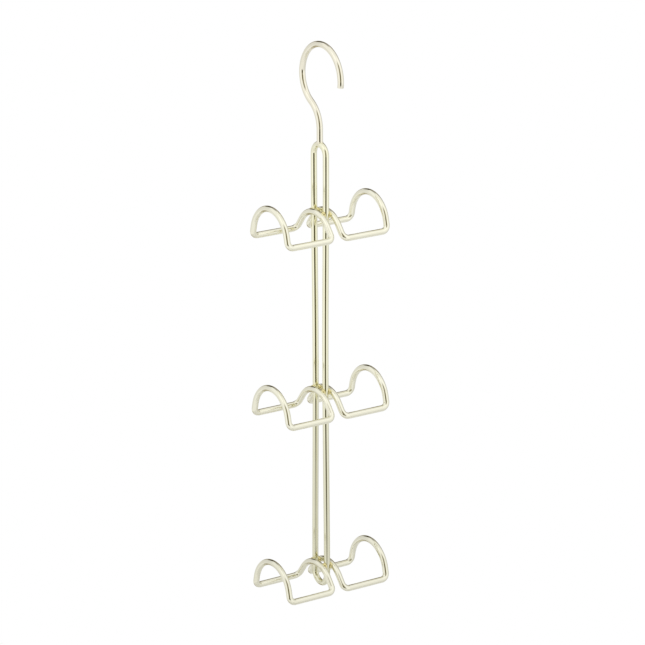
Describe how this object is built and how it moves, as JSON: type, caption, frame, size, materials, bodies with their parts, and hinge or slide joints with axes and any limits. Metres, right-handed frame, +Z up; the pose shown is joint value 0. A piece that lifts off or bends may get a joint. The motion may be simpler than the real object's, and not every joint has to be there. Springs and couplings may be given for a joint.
{
  "type": "bag hanger",
  "caption": "Hanging rack for bags: an open rod hook over a long closed wire spine, with wire saddles welded out to its left and right in tiers.",
  "frame": {"origin": "the point inside the hook's round that rests on the closet rod, at the top of the bend and in the plane of the wire; the rod lies just under it, with its axis along X", "axes": "+Z up, along the spine; +X along the closet rod, towards the right-hand saddles; the hook opens towards -Y, the front"},
  "size_m": [0.1266, 0.0728, 0.5664],
  "materials": {
    "hook_wire": "round steel wire, bright plated in a pale brass tone",
    "spine_wire": "round steel wire, bright plated in a pale brass tone",
    "saddle_wire": "round steel wire, bright plated in a pale brass tone"
  },
  "bodies": {
    "root": {"hook": "hook_wire", "spine_loop": "spine_wire", "upper_left_saddle": "saddle_wire", "upper_right_saddle": "saddle_wire", "middle_left_saddle": "saddle_wire", "middle_right_saddle": "saddle_wire", "lower_left_saddle": "saddle_wire", "lower_right_saddle": "saddle_wire"}
  },
  "joints": []
}
